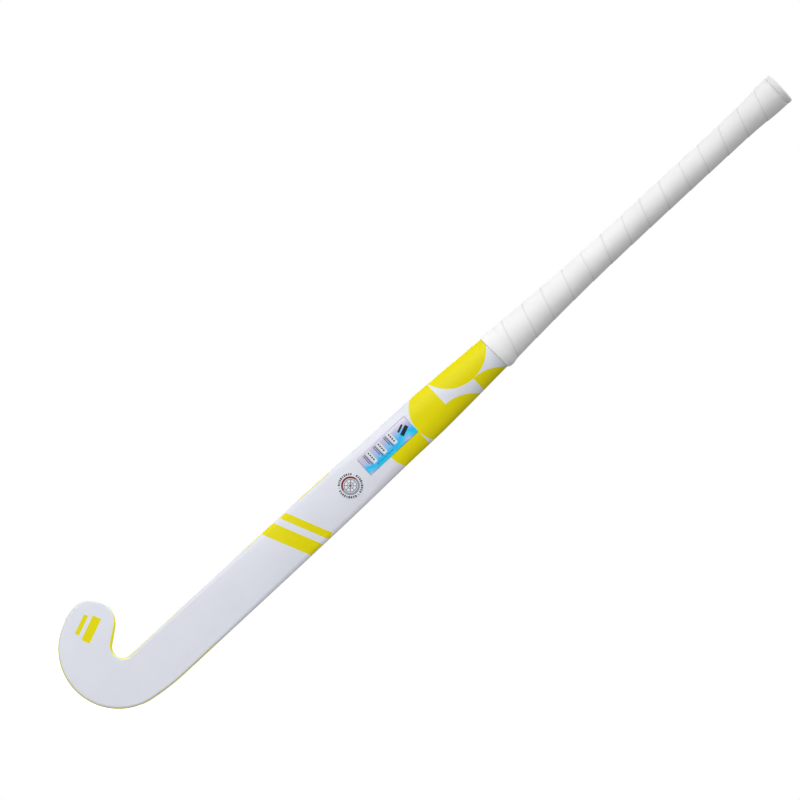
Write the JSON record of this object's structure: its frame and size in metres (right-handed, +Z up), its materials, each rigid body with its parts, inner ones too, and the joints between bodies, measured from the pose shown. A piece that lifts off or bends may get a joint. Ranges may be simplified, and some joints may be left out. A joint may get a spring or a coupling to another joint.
{
  "type": "field hockey stick",
  "caption": "Composite field hockey stick with a flat playing face, a hooked head, a bowed D-section shaft and a taped round handle closed by a butt cap.",
  "frame": {"origin": "on the handle's centreline, at the middle of the upper hand's hold, 100 mm below the butt end", "axes": "+Z up the shaft towards the butt, -Y out of the playing face, -X towards the toe of the hook"},
  "size_m": [0.1236, 0.0636, 0.927],
  "materials": {
    "lacquered_laminate": "white and yellow lacquer under a clear satin coat",
    "core_foam": "rigid foam, unpainted",
    "bare_laminate": "bare fibre laminate",
    "plug_foam": "dense foam, unpainted",
    "cap_rubber": "moulded white rubber, matte",
    "underlay": "thin self-adhesive backing",
    "grip_tape": "white cushioned grip tape, matte, wound in a spiral",
    "finishing_band": "white stretch tape",
    "foil": "iridescent silver foil",
    "seal": "printed film, grey and dark red on white"
  },
  "bodies": {
    "root": {"composite_shell": "lacquered_laminate", "head_core": "core_foam", "toe_side_tube": "bare_laminate", "heel_side_tube": "bare_laminate", "handle_plug": "plug_foam", "butt_cap": "cap_rubber", "grip_underlay": "underlay", "grip_tape": "grip_tape", "grip_finishing_band": "finishing_band", "foil_label": "foil", "round_seal": "seal"}
  },
  "joints": []
}
